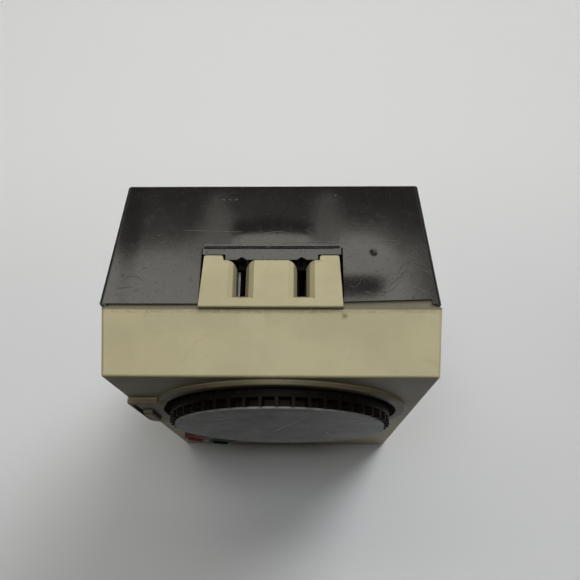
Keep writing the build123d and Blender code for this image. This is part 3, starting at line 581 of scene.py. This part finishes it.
def hour_mesh(figure, angle):
    """Mesh of one hour's figure at its place on the disc, with its top outward."""
    text = bpy.data.curves.new("hour", "FONT")
    text.body = str(figure)
    text.size = NUMERAL_SIZE * MM
    text.align_x = "CENTER"
    text.align_y = "CENTER"
    text.extrude = NUMERAL_RELIEF * MM
    text.resolution_u = 3
    holder = bpy.data.objects.new("hour", text)
    mesh = bpy.data.meshes.new_from_object(holder)
    bpy.data.objects.remove(holder)
    bpy.data.curves.remove(text)
    across = DISC_X + NUMERAL_RADIUS * math.cos(angle)
    up = DISC_Z + NUMERAL_RADIUS * math.sin(angle)
    centre = Vector((across, DISC_FRONT, up)) * MM
    spin = Matrix.Rotation(math.pi / 2 - angle, 4, "Y")
    upright = Matrix.Rotation(math.pi / 2, 4, "X")
    mesh.transform(Matrix.Translation(centre) @ spin @ upright)
    return mesh


def make_numerals():
    """Low-relief hour numbers round the disc, 1 to 12 twice."""
    joined = bmesh.new()
    for hour in range(HOURS):
        mesh = hour_mesh(hour % 12 + 1, math.radians(FIRST_HOUR_ANGLE + 360 / HOURS * hour))
        joined.from_mesh(mesh)
        bpy.data.meshes.remove(mesh)
    mesh = bpy.data.meshes.new("hour_numerals")
    joined.to_mesh(mesh)
    joined.free()
    piece = bpy.data.objects.new("hour_numerals", mesh)
    bpy.context.scene.collection.objects.link(piece)
    mesh.materials.append(plain("numeral_grey", NUMERAL_GREY, 0.45, spread=0.3))
    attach(piece, "dial")


# ---------------------------------------------------------------- stage, camera and lights
PAPER_LOW = (0.77, 0.775, 0.78)
PAPER_HIGH = (0.80, 0.805, 0.81)
# painted light behind the object and painted shadow in front of it
PAPER_LIT_BEHIND = grey(0.89)
PAPER_SHADOW = grey(0.03)
LIT_FLOOR_Y = (0.0, 110.0)
SHADOW_FLOOR_Y = (-105.0, -70.0)
FLOOR_SIZE = 6.0

CAMERA_PLACE = (0.00716, -0.05096, 0.21847)
CAMERA_TURN = (0.375, 0.025, 0.001)
CAMERA_LENS = 38.52
SENSOR_WIDTH = 36.0

WARM = (1.0, 0.975, 0.88)
NEUTRAL = (0.98, 0.99, 1.0)
COOL = (0.97, 0.99, 1.0)
ROOM = (0.95, 0.97, 1.0)
ROOM_STRENGTH = 0.006
WIDE = 180
NARROW = 44


def make_floor():
    """Plain pale floor, with painted light that makes it paler behind the object and a painted shadow that
    makes it dark well in front of it, so that the face stays dim.
    """
    bpy.ops.mesh.primitive_plane_add(size=FLOOR_SIZE, location=(0, 0, 0))
    floor = bpy.context.object
    floor.name = "floor"
    made, tree, shader, position = new_material("floor_paper")
    depth = axes(tree, position)["Y"]
    paper = mix(tree, noise(tree, position, 0.02, 3.0), rgb(PAPER_LOW), rgb(PAPER_HIGH))
    # painted light: the floor paler behind the object
    paper = mix(tree, ease(tree, depth, *LIT_FLOOR_Y), paper, rgb(PAPER_LIT_BEHIND))
    # painted shadow: the floor dark well in front of the object
    paper = mix(tree, ease(tree, depth, *SHADOW_FLOOR_Y), rgb(PAPER_SHADOW), paper)
    connect(tree, shader.inputs["Base Color"], paper)
    shader.inputs["Roughness"].default_value = 0.8
    shader.inputs["Specular IOR Level"].default_value = 0.2
    floor.data.materials.append(made)


def make_camera():
    """Camera above the front, looking down on the top of the timer."""
    data = bpy.data.cameras.new("camera")
    data.sensor_width = SENSOR_WIDTH
    data.lens = CAMERA_LENS
    data.clip_start = 0.01
    camera = bpy.data.objects.new("camera", data)
    camera.location = CAMERA_PLACE
    camera.rotation_mode = "ZYX"
    camera.rotation_euler = CAMERA_TURN
    bpy.context.scene.collection.objects.link(camera)
    bpy.context.scene.camera = camera


def area_light(name, place, target, size, power, spread, colour):
    """Rectangular area light aimed at a point; places in metres, power in watts, spread in degrees."""
    data = bpy.data.lights.new(name, "AREA")
    data.shape = "RECTANGLE"
    data.size = size[0]
    data.size_y = size[1]
    data.energy = power
    data.color = colour
    data.spread = math.radians(spread)
    lamp = bpy.data.objects.new(name, data)
    lamp.location = place
    lamp.rotation_euler = (Vector(target) - Vector(place)).to_track_quat("-Z", "Y").to_euler()
    bpy.context.scene.collection.objects.link(lamp)
    return lamp


def make_lights():
    """A ceiling strip behind, mirrored in the black top, a lamp overhead and a window at the right rear."""
    area_light("ceiling", (-0.13, 0.27, 0.72), (-0.13, 0.27, 0.0), (0.60, 0.22), 1.30, WIDE, WARM)
    area_light("overhead", (0.0, -0.02, 0.90), (0.0, -0.02, 0.0), (0.50, 0.25), 1.90, WIDE, NEUTRAL)
    window = area_light("window", (0.62, 0.85, 0.8), (0.02, 0.08, 0.05), (0.8, 0.8), 1.2, NARROW, COOL)
    window.visible_glossy = False


def make_room():
    """Nearly dark surroundings and plain colour management."""
    world = bpy.data.worlds.new("room")
    world.use_nodes = True
    background = world.node_tree.nodes["Background"]
    background.inputs["Color"].default_value = rgb(ROOM)
    background.inputs["Strength"].default_value = ROOM_STRENGTH
    bpy.context.scene.world = world
    bpy.context.scene.view_settings.view_transform = "Standard"


finish_outside()
finish_inside()
make_numerals()
make_floor()
make_camera()
make_lights()
make_room()
